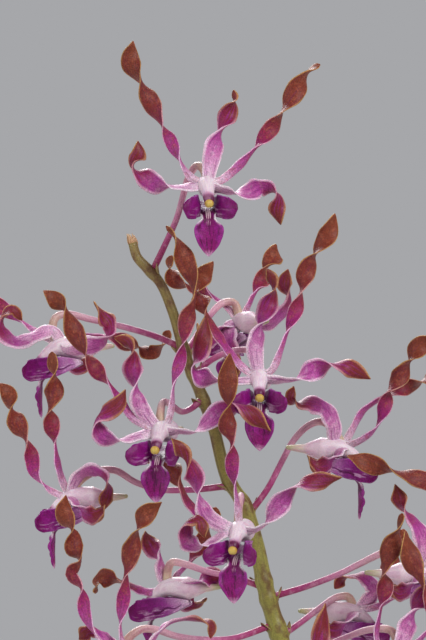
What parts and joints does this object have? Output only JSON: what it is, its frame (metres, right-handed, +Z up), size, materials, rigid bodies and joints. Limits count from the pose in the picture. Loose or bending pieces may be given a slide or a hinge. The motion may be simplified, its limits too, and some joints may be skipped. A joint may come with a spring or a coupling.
{
  "type": "potted dendrobium orchid",
  "caption": "Flowering antelope dendrobium orchid in a plain clay pot: leafy canes and one arching spray of blooms with twisted petals and purple lips.",
  "frame": {"origin": "middle of the pot's underside, on the surface that it stands on", "axes": "+Z up along the pot's axis, -Y towards the viewer that most blooms face, +X to that viewer's right"},
  "size_m": [0.2578, 0.1651, 0.6394],
  "materials": {
    "tepals": "waxy twisted petals, white to pink, magenta and rust brown at the tips",
    "lip": "deep purple petal tissue with darker veins",
    "anther_cap": "smooth yellow cap, slightly waxy",
    "stem": "smooth olive green stem flushed purple brown",
    "cane": "green canes and leathery leaves with a soft gloss",
    "old_cane": "old cane with papery straw-coloured sheaths",
    "roots": "silvery velamen on rhizome and roots",
    "bark": "rough red-brown fir bark chips",
    "terracotta": "unglazed turned terracotta"
  },
  "bodies": {
    "root": {"tepals_01": "tepals", "lip_01": "lip", "anther_cap_01": "anther_cap", "tepals_02": "tepals", "lip_02": "lip", "anther_cap_02": "anther_cap", "tepals_03": "tepals", "lip_03": "lip", "anther_cap_03": "anther_cap", "tepals_04": "tepals", "lip_04": "lip", "anther_cap_04": "anther_cap", "tepals_05": "tepals", "lip_05": "lip", "anther_cap_05": "anther_cap", "tepals_06": "tepals", "lip_06": "lip", "anther_cap_06": "anther_cap", "tepals_07": "tepals", "lip_07": "lip", "anther_cap_07": "anther_cap", "tepals_08": "tepals", "lip_08": "lip", "anther_cap_08": "anther_cap", "tepals_09": "tepals", "lip_09": "lip", "anther_cap_09": "anther_cap", "tepals_10": "tepals", "lip_10": "lip", "anther_cap_10": "anther_cap", "tepals_11": "tepals", "lip_11": "lip", "anther_cap_11": "anther_cap", "tepals_12": "tepals", "lip_12": "lip", "anther_cap_12": "anther_cap", "tepals_13": "tepals", "lip_13": "lip", "anther_cap_13": "anther_cap", "tepals_14": "tepals", "lip_14": "lip", "anther_cap_14": "anther_cap", "tepals_15": "tepals", "lip_15": "lip", "anther_cap_15": "anther_cap", "spray_stem": "stem", "cane_1": "cane", "cane_2": "cane", "cane_3": "cane", "cane_4": "cane", "cane_5": "old_cane", "rhizome_and_roots": "roots", "bark_bed": "bark", "pot": "terracotta"}
  },
  "joints": []
}
